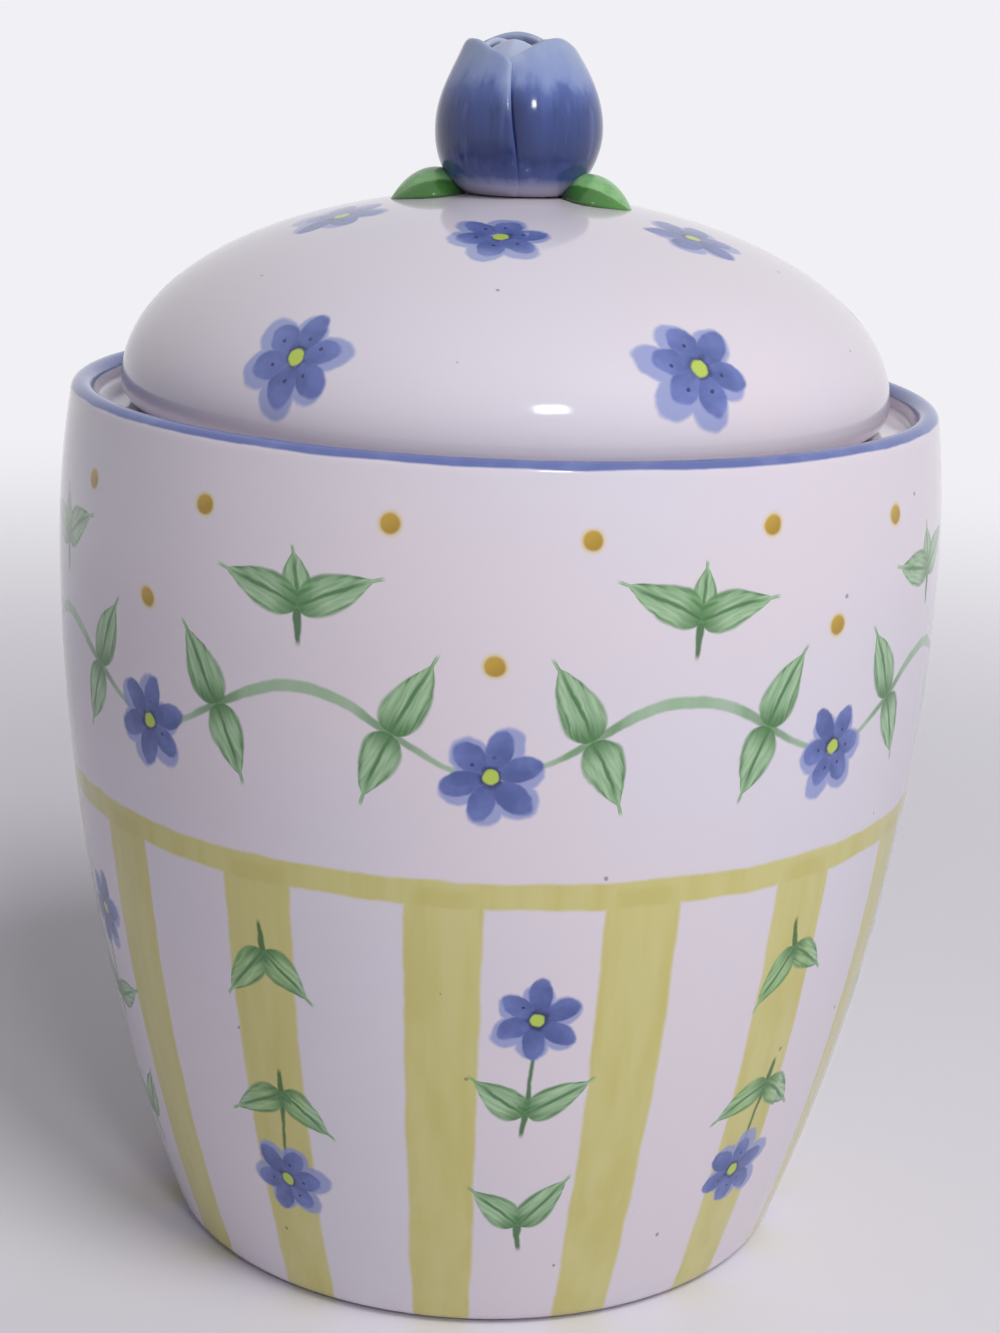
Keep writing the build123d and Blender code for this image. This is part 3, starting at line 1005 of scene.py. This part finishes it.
def makeLeaf(name, node, azimuth, start, material):
    level = domeTop(leaf["tip"]) + leaf["gap"] - leaf["sink"]

    def spine(t):  # distance from the jar's axis, and the hood's radius about its own axis
        s = 1 - t
        out = s**3 * leaf["root"] + 3 * s * s * t * (leaf["root"] + leaf["lean"])
        out += 3 * s * t * t * (leaf["tip"] - leaf["lean"]) + t**3 * leaf["tip"]
        return out, 4 * leaf["rise"] * t * s

    def clearsDome(t):
        out, hood = spine(t)
        return hood > domeTop(out) - level

    end = next(k / 1000 for k in range(999, 0, -1) if clearsDome(k / 1000))
    bm, along, off = startBlade(leaf["columns"], leaf["rows"])
    for vert in bm.verts:
        share, side = (vert.co.x + 1) / 2, vert.co.y
        vert[along], vert[off] = share, side
        out, hood = spine(start + (end - start) * (1 - (1 - share) ** leaf["tipCrowd"]))
        floor = min(1.0, max(-1.0, (domeTop(out) - level) / hood))
        angle = side * math.acos(floor)
        fromCrease = (abs(side) - leaf["creaseSide"]) / leaf["creaseHalf"]
        hood -= leaf["crease"] * math.exp(-(fromCrease**2)) * math.sin(math.pi * share)
        width = 1 - leaf["rootTaper"] * max(0.0, 1 - share / leaf["rootEnd"]) ** 2
        vert.co = (out, hood * math.sin(angle) * width, level + hood * math.cos(angle))
    bmesh.ops.remove_doubles(bm, verts=bm.verts[:], dist=2e-5)
    turnBlade(bm, azimuth, lambda face: face.normal.z)
    return addWall(addPiece(name, bm, material, "lid", "green_glaze", node), leaf["thickness"])


def leafGlaze():
    material, tree, shader = startMaterial("leafGlaze")
    place = objectPlace(tree)
    share, off = attribute(tree, "along"), attribute(tree, "off")
    strokes = clouds(tree, place, 420.0, 3.0)
    low = (abs(off) + (strokes - 0.5) * 0.14).rise(0.56, 0.64)  # below the creases, where the sides facing down get painted shade
    colour = layer(tree, leaf["back"], leaf["backPale"], strokes.rise(0.35, 0.7))
    # painted shade: darker green on the lower sides, deeper towards the root
    colour = layer(tree, colour, leaf["side"], low * (strokes * 0.3 + 0.7))
    colour = layer(tree, colour, leaf["deepSideShade"], low * share.fall(0.3, 0.8) * 0.55)
    # painted shadow: dark green at the root, in the crevice between the leaf and the bud
    colour = layer(tree, colour, leaf["rootShadow"], share.fall(0.04, 0.2) * 0.75)
    finishGlaze(tree, shader, place, colour, strokes * 0.08 + 0.1, glaze["budRipple"])
    return material


leafPaint = leafGlaze()
makeLeaf("leftLeaf", "left_leaf", leaf["left"], leaf["leftStart"], leafPaint)
makeLeaf("rightLeaf", "right_leaf", leaf["right"], leaf["rightStart"], leafPaint)
print("leaves made")


# studio: pale floor, soft lamps and an even pale surround
studio = dict(
    floor="e4e1e8", floorShade="dfdce4", floorSize=6.0, floorDrop=0.0002, floorRoughness=0.6,
    fadeStart=260.0, fadeEnd=950.0,  # millimetres out, where the floor fades into the surround
    surround="f1f0f4", surroundLight=0.22,
    aim=(0.0, 0.0, 0.12),
    lamps=dict(  # only the small lamp leaves a glint
        keyLamp=dict(place=(0.70, -0.90, 1.62), size=(0.75, 0.75), power=21.0, glint=False),
        glintLamp=dict(place=(0.26, -1.06, 0.83), size=(0.17, 0.14), power=2.2, glint=True),
        fillLamp=dict(place=(0.85, -1.1, 0.25), size=(0.9, 0.9), power=2.6, glint=False),
        backLamp=dict(place=(0.45, 1.3, 0.3), size=(0.6, 0.6), power=5.0, glint=False),
    ),
)


def addLamp(name, place, size, power, glint):
    data = bpy.data.lights.new(name, "AREA")
    data.shape = "RECTANGLE"
    data.size, data.size_y = size
    data.energy = power
    lamp = bpy.data.objects.new(name, data)
    scene.collection.objects.link(lamp)
    lamp.location = place
    lamp.rotation_euler = (Vector(studio["aim"]) - Vector(place)).to_track_quat("-Z", "Y").to_euler()
    lamp.visible_glossy = glint


def seenDirectly(tree):  # by the camera, or in a reflection
    rays = tree.nodes.new("ShaderNodeLightPath")
    camera, glossy = (Flow(tree, rays.outputs[name]) for name in ("Is Camera Ray", "Is Glossy Ray"))
    return camera.calc("MAXIMUM", glossy)


def blendInto(tree, mask, under, over, final):
    choose = tree.nodes.new("ShaderNodeMixShader")
    feed(tree, mask, choose.inputs[0])
    tree.links.new(under, choose.inputs[1])
    tree.links.new(over, choose.inputs[2])
    tree.links.new(choose.outputs[0], final.inputs["Surface"])


def setStudio():
    bm = bmesh.new()
    bmesh.ops.create_grid(bm, x_segments=8, y_segments=8, size=studio["floorSize"])
    bmesh.ops.translate(bm, verts=bm.verts[:], vec=(0, 0, -studio["floorDrop"]))
    mesh = bpy.data.meshes.new("paleFloor")
    bm.to_mesh(mesh)
    bm.free()
    floor = bpy.data.objects.new("paleFloor", mesh)
    scene.collection.objects.link(floor)
    material, tree, shader = startMaterial("paleFloor")
    place, _, radius, _ = placeOn(tree)
    tint = layer(tree, studio["floor"], studio["floorShade"], clouds(tree, place, 6.0, 3.0))
    feed(tree, tint, shader.inputs["Base Color"])
    shader.inputs["Roughness"].default_value = studio["floorRoughness"]
    beyond = tree.nodes.new("ShaderNodeEmission")
    beyond.inputs["Color"].default_value = colourOf(studio["surround"])
    fade = radius.rise(studio["fadeStart"], studio["fadeEnd"]) * seenDirectly(tree)
    blendInto(tree, fade, shader.outputs[0], beyond.outputs[0], tree.nodes["Material Output"])
    mesh.materials.append(material)
    for name, lamp in studio["lamps"].items():
        addLamp(name, **lamp)
    world = bpy.data.worlds.new("paleSurround")
    world.use_nodes = True
    tree = world.node_tree
    light = tree.nodes["Background"]
    light.inputs["Color"].default_value = colourOf(studio["surround"])
    light.inputs["Strength"].default_value = studio["surroundLight"]
    shown = tree.nodes.new("ShaderNodeBackground")
    shown.inputs["Color"].default_value = colourOf(studio["surround"])
    blendInto(tree, seenDirectly(tree), light.outputs[0], shown.outputs[0], tree.nodes["World Output"])
    scene.world = world
    scene.view_settings.view_transform = "Standard"


setStudio()
print("studio lit")
